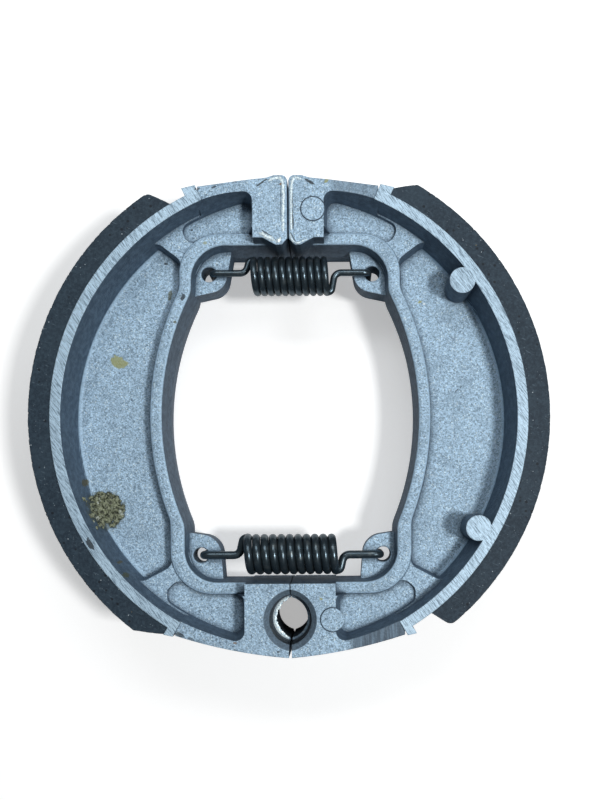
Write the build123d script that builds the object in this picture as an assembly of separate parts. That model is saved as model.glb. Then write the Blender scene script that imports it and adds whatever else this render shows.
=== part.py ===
from build123d import *
from math import cos, degrees, floor, radians, sin, sqrt, tan
import os

# A pair of drum brake shoes, lying flat and drawn together by their two return springs.
# Millimetres. The origin is the drum's axis, on the surface that the pair lies on.
# +Z is up along the drum's axis, and +Y points from the anchor pin to the cam.
# One shoe is drawn on the +X side about its own mid-width plane, with u outwards from the
# mating plane and v along +Y. The other is the same casting turned over about the Y axis.

# Drum and shoe
DRUM_DIAMETER = 130.0
SHOE_WIDTH = 28.0
CLOSED_OFFSET = 1.9
MATING_GAP = 0.24

# Lining, bonded to the rim
LINING_THICKNESS = 5.4
LINING_SETBACK = 0.35
CAM_LINING_CHAMFER = 4.7
HEEL_LINING_CHAMFER = 6.8
LINING_END_ROUND = 2.0
LEFT_LINING_GAP = 3.9
LEFT_LINING_SLOPE = 3.6
RIGHT_LINING_GAP = 5.5
RIGHT_LINING_SLOPE = 2.0

# Rim, an arc plate with drafted inner walls and a stop for each end of the lining
RIM_EDGE = 2.6
RIM_DRAFT = 8.0
RIM_FOOT_ROUND = 1.4
CAM_STOP_ANGLE = 63.4
CAM_STOP_WIDTH = 3.25
HEEL_STOP_ANGLE = 58.2
HEEL_STOP_WIDTH = 2.1
STOP_HEIGHT = 1.3
STOP_CREST_HEIGHT = 2.0
STOP_SHOULDER = 0.35

# Web at mid-width, with a bead along its inner edge
WEB_THICKNESS = 6.5
BEAD_HEIGHT = 5.15
BEAD_DRAFT = 6.0
BEAD_ROUND = 0.9
BEAD_WIDTH = 2.9
BEAD_MIDDLE_V = 0.7
BEAD_RIM_GAP = 23.0
BEAD_BEND_ROUND = 6.0
CAM_BEAD_SET = 7.4
CAM_BEAD_DROP = 12.4
CAM_BEAD_ROUND = 9.8
CAM_BEAD_INNER_ROUND = 8.5
CAM_BEAD_STRAIGHT = 13.6
HEEL_BEAD_SET = 4.9
HEEL_BEAD_WIDTH = 3.5
HEEL_BEAD_RISE = 15.0
HEEL_BEAD_ROUND = 10.4
HEEL_BEAD_INNER_ROUND = 8.0
HEEL_BEAD_STRAIGHT = 18.0

# Main pocket, between two cross ribs that stand a little lower than the bead
RIB_HEIGHT = 4.35
POCKET_DRAFT = 8.0
MAIN_POCKET_ROUND = 2.2
RIB_INNER_DROP = 10.0
RIB_OUTER_DROP = 3.7
CAM_RIB_ANGLES = (53.6, 51.7)
HEEL_RIB_ANGLES = (-48.4, -46.0)

# End pockets, between each cross rib and its block
END_FLOOR_RISE = 3.35
END_FLOOR_RADIUS_DROP = 4.15
END_POCKET_ROUND = 2.2
END_POCKET_LEAN = 1.0
END_POCKET_LAND = 0.4
CAM_POCKET_ANGLE = 58.6
CAM_POCKET_MIDDLE_ANGLE = 68.0
CAM_POCKET_CORNER = (2.0, 4.03)
CAM_POCKET_BEND = (5.0, 2.0)
CAM_WALL_TOP = 3.8
CAM_WALL_MIDDLE = (7.7, 4.6)
CAM_WALL_DEPTH = 8.75
HEEL_POCKET_ANGLE = -54.2
HEEL_POCKET_MIDDLE_ANGLE = -65.0
HEEL_POCKET_CORNERS = ((0.405, 2.27), (0.637, 3.37), (0.874, 5.07), (1.019, 2.67))
HEEL_WALL_TOP = 3.55
HEEL_WALL_EDGE = 3.0
HEEL_WALL_DEPTH = 9.75
END_INSET = 1.35
END_EDGE_DROP = 0.3

# Cam block
CAM_BLOCK_WIDTH = 9.3
CAM_BLOCK_LENGTH = 15.0
CAM_BLOCK_DRAFT_RUN = 0.7
CAM_PAD_WIDTH = 3.3
CAM_SHOULDER = (5.3, 0.6)
CAM_WALL_START = (10.5, 1.15)
CAM_TIP_REACH = 1.75
CAM_TIP_WIDTH = 6.2
CAM_TIP_FLAT = 1.5
CAM_TIP_SLANT = (1.4, 1.6)
CAM_TIP_ROUND = 0.8
CAM_TIP_ROOT = 2.0
CAM_CORNER_ROUND = 1.5
PAD_EDGE_ROUND = 0.6

# Anchor block, with a half-round socket
HEEL_BLOCK_WIDTH = 12.0
HEEL_BLOCK_LENGTH = 17.95
HEEL_BLOCK_DRAFT_RUN = 1.0
HEEL_RELIEF = 1.6
HEEL_SAG = 1.15
PIN_INSET = 10.5
SOCKET_OFFSET = 1.1
SOCKET_DIAMETER = 12.4
SOCKET_CHAMFER = 1.3
SEAT_DIAMETER = 10.3
SEAT_WIDTH = 16.4

# Ejector pegs and ejector marks, on one face of the casting only
PEG_DIAMETER = 6.2
PEG_RIM_GAP = 4.9
CAM_PEG_ANGLE = 36.6
HEEL_PEG_ANGLE = 29.7
MARK_DIAMETER = 5.6
MARK_HEIGHT = 0.12
MARK_GROOVE = 0.25
CAM_MARK = (6.0, 8.15)
HEEL_MARK = (10.2, 9.25)

# Spring ears
EAR_THICKNESS = 7.5
CAM_EAR_RADIUS = 4.7
HEEL_EAR_RADIUS = 5.2
HOOK_HOLE_DIAMETER = 3.8
HOOK_HOLE_CHAMFER = 0.3
CAM_HOLE_SET = 6.7
CAM_HOLE_DROP = 21.35
CAM_EAR_ROOT = ((-6.3, 8.5), (8.0, 8.5), (8.0, -6.5))
HEEL_HOLE_SET = 6.8
HEEL_HOLE_RISE = 24.45
HEEL_EAR_ROOT = ((-5.8, -7.5), (7.0, -7.5), (7.0, 6.3))
EAR_BEAD_LAP = 1.4

# Return springs, wound close
CAM_WIRE = 1.7
CAM_COIL_DIAMETER = 9.7
CAM_COIL_CLEARANCE = 0.6
CAM_ARM = 11.0
HEEL_WIRE = 2.05
HEEL_COIL_DIAMETER = 10.2
HEEL_COIL_CLEARANCE = 1.6
HEEL_ARM = 11.5
TURN_GAP = 0.05
HOOK_CLEARANCE = 0.06
HOOK_PROUD = 0.8
EAR_CLEARANCE = 0.05
ARM_RUN = 1.1
ARM_STEP = 0.9
ARM_FIRST_BEND = 1.0
ARM_SECOND_BEND = 1.9
HOOK_BEND = 0.75
KNUCKLE = 1.12
KNUCKLE_TURN = (40, 20, 10)

# Worked out from the sizes above
HALF_WIDTH = SHOE_WIDTH / 2
HALF_WEB = WEB_THICKNESS / 2
BEAD_TOP = HALF_WEB + BEAD_HEIGHT
RIB_TOP = HALF_WEB + RIB_HEIGHT
END_FLOOR = HALF_WEB + END_FLOOR_RISE
END_EDGE = HALF_WIDTH - END_EDGE_DROP
LINING_RADIUS = DRUM_DIAMETER / 2
RIM_RADIUS = LINING_RADIUS - LINING_THICKNESS
RIM_INNER = RIM_RADIUS - RIM_EDGE
RIM_FOOT = RIM_INNER - (HALF_WIDTH - HALF_WEB) * tan(radians(RIM_DRAFT))
STOP_RADIUS = RIM_RADIUS + STOP_HEIGHT
STOP_CREST = RIM_RADIUS + STOP_CREST_HEIGHT
CAM_RIM_END = CAM_STOP_ANGLE + degrees(CAM_STOP_WIDTH / RIM_RADIUS)
HEEL_RIM_END = -HEEL_STOP_ANGLE - degrees(HEEL_STOP_WIDTH / RIM_RADIUS)
END_FLOOR_RADIUS = RIM_RADIUS - END_FLOOR_RADIUS_DROP
FACE_U = MATING_GAP / 2
CAM_TOP = RIM_RADIUS - END_INSET
HEEL_BOTTOM = -CAM_TOP
CAM_BLOCK_BOTTOM = CAM_TOP - CAM_BLOCK_LENGTH
CAM_TIP = CAM_BLOCK_BOTTOM - CAM_TIP_REACH
HEEL_BLOCK_TOP = HEEL_BOTTOM + HEEL_BLOCK_LENGTH
PIN_V = PIN_INSET - RIM_RADIUS
BEAD_REACH = RIM_RADIUS - CLOSED_OFFSET - BEAD_RIM_GAP
CAM_BEAD_U = BEAD_REACH - CAM_BEAD_SET
CAM_BEAD_V = CAM_TOP - CAM_BEAD_DROP
HEEL_BEAD_U = BEAD_REACH - HEEL_BEAD_SET
HEEL_BEAD_V = HEEL_BOTTOM + HEEL_BEAD_RISE
CAM_HOLE_U = CAM_BEAD_U - CAM_HOLE_SET
CAM_HOLE_V = CAM_TOP - CAM_HOLE_DROP
HEEL_HOLE_U = HEEL_BEAD_U - HEEL_HOLE_SET
HEEL_HOLE_V = HEEL_BOTTOM + HEEL_HOLE_RISE
FAR = 2 * DRUM_DIAMETER


def polar(radius, angle):
    """Place at a radius and an angle in degrees about the centre of the rim's arc."""
    return (radius * cos(radians(angle)) - CLOSED_OFFSET, radius * sin(radians(angle)))


def arc_about_rim(radius, start, end):
    """Arc about the centre of the rim's arc, between two angles."""
    middle = (start + end) / 2
    return ThreePointArc(polar(radius, start), polar(radius, middle), polar(radius, end))


def chain(*lines):
    """Closed face inside lines that follow each other."""
    return make_face(Curve() + list(lines))


def slab(face, half_height, taper=0.0):
    """Plate of a face, equally far up and down from the mid-width plane."""
    return extrude(face, amount=half_height, both=True, taper=taper)


def box_face(u_low, v_low, u_high, v_high):
    """Upright rectangle in plan."""
    middle = Location(((u_low + u_high) / 2, (v_low + v_high) / 2, 0))
    return middle * Rectangle(u_high - u_low, v_high - v_low)


def outline():
    """Outer silhouette of the casting, closed straight along its mating face."""
    turn = CAM_CORNER_ROUND
    bevel = turn * (1 - 1 / sqrt(2))
    heel_mouth = (FACE_U, PIN_V)
    heel_corner = (FACE_U + (PIN_V - HEEL_BOTTOM) * tan(radians(HEEL_RELIEF)), HEEL_BOTTOM)
    cam_shoulder = (CAM_SHOULDER[0], CAM_TOP - CAM_SHOULDER[1])
    cam_wall = (CAM_WALL_START[0], CAM_TOP - CAM_WALL_START[1])
    wall_start = polar(STOP_RADIUS - STOP_SHOULDER, CAM_RIM_END)
    heel_start = polar(STOP_RADIUS - STOP_SHOULDER, HEEL_RIM_END)
    heel_side = polar(RIM_RADIUS - HEEL_SAG, (HEEL_RIM_END - 90) / 2)
    return chain(
        Polyline(heel_corner, heel_mouth, (FACE_U, CAM_TOP - turn)),
        ThreePointArc(
            (FACE_U, CAM_TOP - turn),
            (FACE_U + bevel, CAM_TOP - bevel),
            (FACE_U + turn, CAM_TOP),
        ),
        Polyline((FACE_U + turn, CAM_TOP), (CAM_PAD_WIDTH, CAM_TOP), cam_shoulder, cam_wall),
        Line(cam_wall, wall_start),
        Polyline(
            wall_start,
            polar(STOP_RADIUS, CAM_RIM_END),
            polar(STOP_CREST, CAM_STOP_ANGLE),
            polar(RIM_RADIUS, CAM_STOP_ANGLE),
        ),
        arc_about_rim(RIM_RADIUS, CAM_STOP_ANGLE, -HEEL_STOP_ANGLE),
        Polyline(
            polar(RIM_RADIUS, -HEEL_STOP_ANGLE),
            polar(STOP_CREST, -HEEL_STOP_ANGLE),
            polar(STOP_RADIUS, HEEL_RIM_END),
            heel_start,
        ),
        ThreePointArc(heel_start, heel_side, heel_corner),
    )


def inner_line(inset, heel_inset, cam_round, heel_round):
    """Area between the mating line and the bead's outer edge, or a line further in by an inset."""
    bow = ThreePointArc(
        (CAM_BEAD_U, CAM_BEAD_V - CAM_BEAD_STRAIGHT),
        (BEAD_REACH, BEAD_MIDDLE_V),
        (HEEL_BEAD_U, HEEL_BEAD_V + HEEL_BEAD_STRAIGHT),
    )
    centre = bow.arc_center
    radius = bow.radius - inset
    cam_v = CAM_BEAD_V - inset
    cam_u = CAM_BEAD_U - inset
    heel_v = HEEL_BEAD_V + inset
    heel_u = HEEL_BEAD_U - heel_inset
    cam_bend = (cam_u, centre.Y + sqrt(radius**2 - (cam_u - centre.X) ** 2))
    heel_bend = (heel_u, centre.Y - sqrt(radius**2 - (heel_u - centre.X) ** 2))
    inside = -HALF_WIDTH
    face = chain(
        Polyline((inside, heel_v), (inside, cam_v), (cam_u, cam_v), cam_bend),
        ThreePointArc(cam_bend, (centre.X + radius, centre.Y), heel_bend),
        Polyline(heel_bend, (heel_u, heel_v), (inside, heel_v)),
    )
    for place, size in (
        ((cam_u, cam_v), cam_round),
        ((heel_u, heel_v), heel_round),
        (cam_bend, BEAD_BEND_ROUND),
        (heel_bend, BEAD_BEND_ROUND),
    ):
        corner = face.vertices().sort_by_distance(Vector(*place))[0]
        face = fillet(corner, size)
    return face


def bead_space():
    """Everything inside the bead's outer edge, at the bead's top."""
    return inner_line(0, 0, CAM_BEAD_ROUND, HEEL_BEAD_ROUND)


def opening():
    """Middle of the brake, which the bead leaves free at its top."""
    return inner_line(BEAD_WIDTH, HEEL_BEAD_WIDTH, CAM_BEAD_INNER_ROUND, HEEL_BEAD_INNER_ROUND)


def rim():
    """Rim and the root of the web in one drafted section, turned about the rim's arc."""
    inner = RIM_FOOT - 4 * RIM_FOOT_ROUND
    section = make_face(
        Polyline(
            (RIM_RADIUS, HALF_WIDTH),
            (RIM_INNER, HALF_WIDTH),
            (RIM_FOOT, HALF_WEB),
            (inner, HALF_WEB),
            (inner, -HALF_WEB),
            (RIM_FOOT, -HALF_WEB),
            (RIM_INNER, -HALF_WIDTH),
            (RIM_RADIUS, -HALF_WIDTH),
            close=True,
        )
    )
    feet = [v for v in section.vertices() if abs(v.X - RIM_FOOT) < 0.01]
    section = fillet(feet, RIM_FOOT_ROUND)
    upright = Plane.XZ * section
    turn = CAM_RIM_END - HEEL_RIM_END
    ring = revolve(Rot(0, 0, HEEL_RIM_END) * upright, Axis.Z, revolution_arc=turn)
    return Pos(-CLOSED_OFFSET, 0, 0) * ring


def stop(crest_angle, end_angle):
    """Machined stop that stands out of the rim, highest where the lining's end meets it."""
    inner = (RIM_INNER + RIM_RADIUS) / 2
    face = make_face(
        Polyline(
            polar(STOP_CREST, crest_angle),
            polar(STOP_RADIUS, end_angle),
            polar(inner, end_angle),
            polar(inner, crest_angle),
            close=True,
        )
    )
    return slab(face, HALF_WIDTH)


def both_faces(shape):
    """A shape together with its mirror image below the mid-width plane."""
    return shape + mirror(shape, about=Plane.XY)


def rib_edge(angles, distance):
    """Place on the line of a cross rib's edge, so far beyond its outer end."""
    u1, v1 = polar(RIM_RADIUS - RIB_INNER_DROP, angles[0])
    u2, v2 = polar(RIM_RADIUS - RIB_OUTER_DROP, angles[1])
    length = sqrt((u2 - u1) ** 2 + (v2 - v1) ** 2)
    return (u2 + (u2 - u1) * distance / length, v2 + (v2 - v1) * distance / length)


def main_pocket():
    """Drafted recess between the two cross ribs, with rounded corners."""
    lean = (RIB_TOP - HALF_WEB) * tan(radians(POCKET_DRAFT))
    reach = 2 * RIB_INNER_DROP
    wedge = make_face(
        Polyline(
            rib_edge(CAM_RIB_ANGLES, -reach),
            rib_edge(CAM_RIB_ANGLES, reach),
            (FAR, 0),
            rib_edge(HEEL_RIB_ANGLES, reach),
            rib_edge(HEEL_RIB_ANGLES, -reach),
            close=True,
        )
    )
    wedge = offset(wedge, -lean, kind=Kind.INTERSECTION)
    disc = Pos(-CLOSED_OFFSET, 0) * Circle(RIM_FOOT + BEAD_ROUND / 2)
    floor = (disc & wedge) - offset(bead_space(), BEAD_ROUND / 2)
    corners = floor.vertices().sort_by(Axis.Y)
    floor = fillet(corners[:2] + corners[-2:], MAIN_POCKET_ROUND)
    depth = RIB_HEIGHT + 1
    return both_faces(Pos(0, 0, HALF_WEB) * extrude(floor, amount=depth, taper=-POCKET_DRAFT))


def end_pocket(floor_points, floor_arc, edge_points, edge_arc):
    """Recess between floor and edge outlines, each of straight sides and an arc along the rim."""
    faces = []
    for points, middle, height in (
        (floor_points, floor_arc, END_FLOOR),
        (edge_points, edge_arc, HALF_WIDTH),
    ):
        face = chain(Polyline(*points), ThreePointArc(points[-1], middle, points[0]))
        face = fillet(face.vertices(), END_POCKET_ROUND)
        faces.append(Pos(0, 0, height) * face)
    return both_faces(loft(faces, ruled=True))


def cam_pocket():
    """Recess between the cam block and its cross rib.

    Its corner on the web's side is measured from its corner at the rim, and the bend from there.
    """
    side = CAM_BLOCK_WIDTH
    top_side = side - CAM_BLOCK_DRAFT_RUN
    wall_foot = sqrt(END_FLOOR_RADIUS**2 - (side + CLOSED_OFFSET) ** 2)
    rim_corner = polar(END_FLOOR_RADIUS, CAM_POCKET_ANGLE)
    corner_u = rim_corner[0] - CAM_POCKET_CORNER[0]
    corner_v = rim_corner[1] - CAM_POCKET_CORNER[1]
    bend_u = corner_u - CAM_POCKET_BEND[0]
    bend_v = corner_v + CAM_POCKET_BEND[1]
    return end_pocket(
        [
            rim_corner,
            (corner_u, corner_v),
            (bend_u, bend_v),
            (side, bend_v + END_POCKET_LAND),
            (side, wall_foot),
        ],
        polar(END_FLOOR_RADIUS, CAM_POCKET_MIDDLE_ANGLE),
        [
            polar(RIM_INNER + END_POCKET_LAND, CAM_POCKET_ANGLE),
            (corner_u, corner_v - END_POCKET_LEAN),
            (bend_u, bend_v - END_POCKET_LEAN),
            (top_side, bend_v + END_POCKET_LAND - END_POCKET_LEAN),
            (top_side, CAM_TOP - CAM_WALL_TOP),
        ],
        (side + CAM_WALL_MIDDLE[0], CAM_TOP - CAM_WALL_MIDDLE[1]),
    )


def heel_pocket():
    """Recess between the anchor block and its cross rib.

    Its corners on the web's side are given as a share of the way from the block to its corner
    at the rim, and a rise above that corner.
    """
    side = HEEL_BLOCK_WIDTH
    rim_u, rim_v = polar(END_FLOOR_RADIUS, HEEL_POCKET_ANGLE)
    top_side = side - HEEL_BLOCK_DRAFT_RUN
    wall_foot = -sqrt(END_FLOOR_RADIUS**2 - (side + CLOSED_OFFSET) ** 2)
    side_v = HEEL_BEAD_V - END_POCKET_LAND
    floor_turns = [
        (side + share * (rim_u - side), rim_v + rise) for share, rise in HEEL_POCKET_CORNERS
    ]
    edge_turns = [(u, v + END_POCKET_LEAN) for u, v in floor_turns]
    return end_pocket(
        [(side, wall_foot), (side, side_v)] + floor_turns + [(rim_u, rim_v)],
        polar(END_FLOOR_RADIUS, HEEL_POCKET_MIDDLE_ANGLE),
        [(top_side, HEEL_BOTTOM + HEEL_WALL_TOP), (top_side, side_v + END_POCKET_LEAN)]
        + edge_turns
        + [polar(RIM_INNER + END_POCKET_LAND, HEEL_POCKET_ANGLE)],
        polar(RIM_RADIUS - HEEL_WALL_EDGE, HEEL_POCKET_MIDDLE_ANGLE),
    )


def cam_end(silhouette):
    """Cam block and the wall that joins it to the rim."""
    block = box_face(-FAR, CAM_BLOCK_BOTTOM, CAM_BLOCK_WIDTH - CAM_BLOCK_DRAFT_RUN, FAR)
    wall = box_face(0, CAM_TOP - CAM_WALL_DEPTH, polar(RIM_RADIUS, CAM_RIM_END)[0], FAR)
    corner = box_face(0, CAM_BEAD_V, CAM_BLOCK_WIDTH + 2 * END_POCKET_ROUND, FAR)
    body = slab(silhouette & (block + wall + corner), END_EDGE)
    slant_u, slant_v = CAM_TIP_SLANT
    root = CAM_BLOCK_BOTTOM + CAM_TIP_ROOT
    tip = make_face(
        Polyline(
            (FACE_U, root),
            (FACE_U, CAM_TIP + slant_v),
            (FACE_U + slant_u, CAM_TIP),
            (FACE_U + slant_u + CAM_TIP_FLAT, CAM_TIP),
            (CAM_TIP_WIDTH, CAM_BLOCK_BOTTOM),
            (CAM_TIP_WIDTH, root),
            close=True,
        )
    )
    low = [v for v in tip.vertices() if v.Y < CAM_BLOCK_BOTTOM - CAM_TIP_ROUND / 8]
    body += slab(fillet(low, CAM_TIP_ROUND), END_EDGE)
    return body - both_faces(pad_edge())


def pad_edge():
    """What rounding the long upper edge of the cam's pad takes away."""
    low, high = END_EDGE - PAD_EDGE_ROUND, END_EDGE + PAD_EDGE_ROUND
    near, far = FACE_U - PAD_EDGE_ROUND, FACE_U + PAD_EDGE_ROUND
    bevel = PAD_EDGE_ROUND * (1 - 1 / sqrt(2))
    section = chain(
        Polyline((FACE_U, low), (near, low), (near, high), (far, high), (far, END_EDGE)),
        ThreePointArc((far, END_EDGE), (FACE_U + bevel, END_EDGE - bevel), (FACE_U, low)),
    )
    length = CAM_BLOCK_LENGTH + 2 * CAM_TIP_REACH
    return Pos(0, CAM_TOP + CAM_TIP_REACH, 0) * extrude(Plane.XZ * section, amount=length)


def heel_end(silhouette):
    """Anchor block and the wall that joins it to the rim."""
    block = box_face(-FAR, -FAR, HEEL_BLOCK_WIDTH - HEEL_BLOCK_DRAFT_RUN, HEEL_BLOCK_TOP)
    wall = box_face(0, -FAR, polar(RIM_RADIUS, HEEL_RIM_END)[0], HEEL_BOTTOM + HEEL_WALL_DEPTH)
    corner = box_face(0, -FAR, HEEL_BLOCK_WIDTH + 2 * END_POCKET_ROUND, HEEL_BEAD_V)
    return slab(silhouette & (block + wall + corner), END_EDGE)


def bead(silhouette):
    """Raised bead with drafted sides and rounded edges along the web's inner edge."""
    lean = BEAD_TOP * tan(radians(BEAD_DRAFT))
    base = offset(bead_space(), lean) - offset(opening(), -lean)
    body = slab(base, BEAD_TOP, BEAD_DRAFT)
    levels = body.edges().group_by(Axis.Z)
    rims = [edge for edge in levels[0] + levels[-1] if edge.center().X > 0]
    body = fillet(rims, BEAD_ROUND)
    return body & slab(silhouette, HALF_WIDTH)


def ear(u, v, radius, root):
    """Ear about a hook's hole, as wide at its root as the places given from the hole."""
    boss = Pos(u, v) * Circle(radius)
    places = [(u + du, v + dv) for du, dv in root]
    hull = make_hull(boss.edges() + Polyline(*places).edges())
    return slab(hull & offset(opening(), EAR_BEAD_LAP), EAR_THICKNESS / 2)


def ears():
    """Two ears that carry the springs' hooks, inside the bead's turns."""
    cam_ear = ear(CAM_HOLE_U, CAM_HOLE_V, CAM_EAR_RADIUS, CAM_EAR_ROOT)
    return cam_ear + ear(HEEL_HOLE_U, HEEL_HOLE_V, HEEL_EAR_RADIUS, HEEL_EAR_ROOT)


def chamfered_hole(radius, half_depth, chamfer_size):
    """What a drilled hole takes away, with a chamfer at both faces."""
    reach = half_depth + 1
    section = make_face(
        Polyline(
            (0, -reach),
            (radius + chamfer_size + 1, -reach),
            (radius, chamfer_size - half_depth),
            (radius, half_depth - chamfer_size),
            (radius + chamfer_size + 1, reach),
            (0, reach),
            close=True,
        )
    )
    return revolve(Plane.XZ * section, Axis.Z)


def pin_socket():
    """What the anchor pin's socket takes away: two chamfered bores and a narrower seat between."""
    seat = Cylinder(SEAT_DIAMETER / 2, SHOE_WIDTH + 2)
    depth = HALF_WIDTH - SEAT_WIDTH / 2
    bore = Pos(0, 0, HALF_WIDTH - depth / 2 + 0.5) * Cylinder(SOCKET_DIAMETER / 2, depth + 1)
    mouth = SOCKET_DIAMETER / 2 + SOCKET_CHAMFER
    cone_height = SOCKET_CHAMFER + 1
    cone = Pos(0, 0, END_EDGE - SOCKET_CHAMFER + cone_height / 2) * Cone(
        SOCKET_DIAMETER / 2, mouth + 1, cone_height
    )
    upper = bore + cone
    return Pos(-SOCKET_OFFSET, PIN_V, 0) * (seat + upper + mirror(upper, about=Plane.XY))


def pegs():
    """Two ejector pegs beside the rim, as high as its machined edge."""
    height = HALF_WIDTH - HALF_WEB
    result = []
    for angle in (CAM_PEG_ANGLE, -HEEL_PEG_ANGLE):
        u, v = polar(RIM_RADIUS - PEG_RIM_GAP, angle)
        peg = Pos(u, v, HALF_WEB) * extrude(Circle(PEG_DIAMETER / 2), amount=height)
        result.append(peg)
    return result


def discs(diameter, low, high):
    """A disc at each ejector mark, between two heights."""
    disc = extrude(Circle(diameter / 2), amount=high - low)
    return [
        Pos(CAM_MARK[0], CAM_TOP - CAM_MARK[1], low) * disc,
        Pos(HEEL_MARK[0], HEEL_BOTTOM + HEEL_MARK[1], low) * disc,
    ]


def ejector_grooves():
    """What the thin groove round each ejector mark takes away."""
    return discs(MARK_DIAMETER + 2 * MARK_GROOVE, END_EDGE - MARK_GROOVE, HALF_WIDTH)


def ejector_marks():
    """Round marks that stand a little out of the two blocks."""
    return discs(MARK_DIAMETER, END_EDGE - 2 * MARK_GROOVE, END_EDGE + MARK_HEIGHT)


def casting():
    """One die-cast shoe about its mid-width plane, with its ejector pegs upwards."""
    silhouette = outline()
    hidden = offset(opening(), BEAD_WIDTH / 2)
    body = slab(silhouette - hidden, RIB_TOP) - main_pocket()
    ends = cam_end(silhouette) + heel_end(silhouette)
    body = (body + ends) - cam_pocket() - heel_pocket()
    body += rim()
    body += bead(silhouette)
    body += stop(CAM_STOP_ANGLE, CAM_RIM_END)
    body += stop(-HEEL_STOP_ANGLE, HEEL_RIM_END)
    body += ears()
    body += pegs()
    body -= ejector_grooves()
    body += ejector_marks()
    hook_hole = chamfered_hole(HOOK_HOLE_DIAMETER / 2, EAR_THICKNESS / 2, HOOK_HOLE_CHAMFER)
    body -= Pos(CAM_HOLE_U, CAM_HOLE_V, 0) * hook_hole
    body -= Pos(HEEL_HOLE_U, HEEL_HOLE_V, 0) * hook_hole
    body -= pin_socket()
    return body


def lining(stop_angle, chamfer, gap, slope):
    """Friction lining from one stop to its free end near the other, about the mid-width plane.

    The end at the stop is cut off in a long chamfer, and the free end, a gap short of the other
    stop, slopes and is rounded over. Angles are about the centre of the rim's arc.
    """
    way = 1 if stop_angle > 0 else -1
    other_stop = -HEEL_STOP_ANGLE if stop_angle > 0 else CAM_STOP_ANGLE
    free_angle = other_stop + way * degrees(gap / RIM_RADIUS)
    shoulder = stop_angle - way * degrees(chamfer / LINING_RADIUS)
    crest = free_angle + way * degrees(slope / LINING_RADIUS)
    stop_top = polar(STOP_CREST, stop_angle)
    face = chain(
        Line(polar(RIM_RADIUS, stop_angle), stop_top),
        Line(stop_top, polar(LINING_RADIUS, shoulder)),
        arc_about_rim(LINING_RADIUS, shoulder, crest),
        Line(polar(LINING_RADIUS, crest), polar(RIM_RADIUS, free_angle)),
        arc_about_rim(RIM_RADIUS, free_angle, stop_angle),
    )
    corner = face.vertices().sort_by_distance(Vector(*polar(LINING_RADIUS, crest)))[0]
    face = fillet(corner, LINING_END_ROUND)
    return slab(face, HALF_WIDTH - LINING_SETBACK)


def turned_over(shape):
    """The same piece turned over about the Y axis, for the other shoe."""
    return Rot(0, 180, 0) * shape


def lifted(shape):
    """The piece raised from the mid-width plane, so that the pair lies on Z = 0."""
    return Pos(0, 0, HALF_WIDTH) * shape


def coil_length(wire, hole_u, arm):
    """Length of the whole turns and the half turn that fit between the arms of a spring."""
    pitch = wire + TURN_GAP
    return (floor(2 * (hole_u - arm) / pitch) + 0.5) * pitch


def coil(wire, diameter, length):
    """Close-wound coil along X, its first turn starting at +Y and its last ending at -Y."""
    radius = (diameter - wire) / 2
    path = Helix(pitch=wire + TURN_GAP, height=length, radius=radius)
    start = Plane(origin=path @ 0, z_dir=path % 0)
    turns = sweep(start * Circle(wire / 2), path=path, is_frenet=True)
    upright = Pos(0, 0, -length / 2) * turns
    return Rot(90, 0, 0) * Rot(0, 90, 0) * upright


def hook(wire, start, level, hole):
    """Arm from the coil's end to an ear, ending in a leg that drops through the ear's hole."""
    leg_u = hole[0] - (HOOK_HOLE_DIAMETER - wire) / 2 + HOOK_CLEARANCE
    foot = -EAR_THICKNESS / 2 - HOOK_PROUD
    path = FilletPolyline(
        (start[0], start[1], level),
        (start[0] + ARM_RUN, start[1], level),
        (start[0] + ARM_RUN + ARM_STEP, hole[1], level),
        (leg_u, hole[1], level),
        (leg_u, hole[1], foot),
        radius=[ARM_FIRST_BEND, ARM_SECOND_BEND, HOOK_BEND * wire],
    )
    first = Plane(origin=path @ 0, z_dir=path % 0)
    arm = sweep(first * Circle(wire / 2), path=path)
    knuckle = Rot(*KNUCKLE_TURN) * Sphere(KNUCKLE * wire / 2)
    return arm + Pos(start[0], start[1], level) * knuckle


def return_spring(wire, diameter, coil_v, hole, arm):
    """Coil with a hook at each end, one for each shoe, about the mid-width plane."""
    level = EAR_THICKNESS / 2 + wire / 2 + EAR_CLEARANCE
    radius = (diameter - wire) / 2
    length = coil_length(wire, hole[0], arm)
    body = Pos(0, coil_v, level) * coil(wire, diameter, length)
    right = hook(wire, (length / 2, coil_v - radius), level, hole)
    left = hook(wire, (length / 2, coil_v + radius), level, hole)
    return body + right + mirror(left, about=Plane.YZ)


def save(name, shape):
    """Write one piece, lifted to where it lies."""
    export_step(lifted(shape), os.path.join("parts", name + ".step"))


os.makedirs("parts", exist_ok=True)

shoe = casting()
left_lining = lining(-HEEL_STOP_ANGLE, HEEL_LINING_CHAMFER, LEFT_LINING_GAP, LEFT_LINING_SLOPE)
right_lining = lining(CAM_STOP_ANGLE, CAM_LINING_CHAMFER, RIGHT_LINING_GAP, RIGHT_LINING_SLOPE)
cam_coil_v = CAM_TIP - CAM_COIL_CLEARANCE - CAM_COIL_DIAMETER / 2
heel_coil_v = HEEL_BLOCK_TOP + HEEL_COIL_CLEARANCE + HEEL_COIL_DIAMETER / 2
cam_spring = return_spring(
    CAM_WIRE, CAM_COIL_DIAMETER, cam_coil_v, (CAM_HOLE_U, CAM_HOLE_V), CAM_ARM
)
anchor_spring = return_spring(
    HEEL_WIRE, HEEL_COIL_DIAMETER, heel_coil_v, (HEEL_HOLE_U, HEEL_HOLE_V), HEEL_ARM
)

save("right_shoe_casting", shoe)
save("left_shoe_casting", turned_over(shoe))
save("right_lining", right_lining)
save("left_lining", turned_over(left_lining))
save("cam_return_spring", cam_spring)
save("anchor_return_spring", anchor_spring)
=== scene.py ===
from collections import namedtuple
from math import atan2, cos, hypot, pi, radians, sin
from random import Random

import bpy
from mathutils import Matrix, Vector, noise
from mathutils.bvhtree import BVHTree


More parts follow.
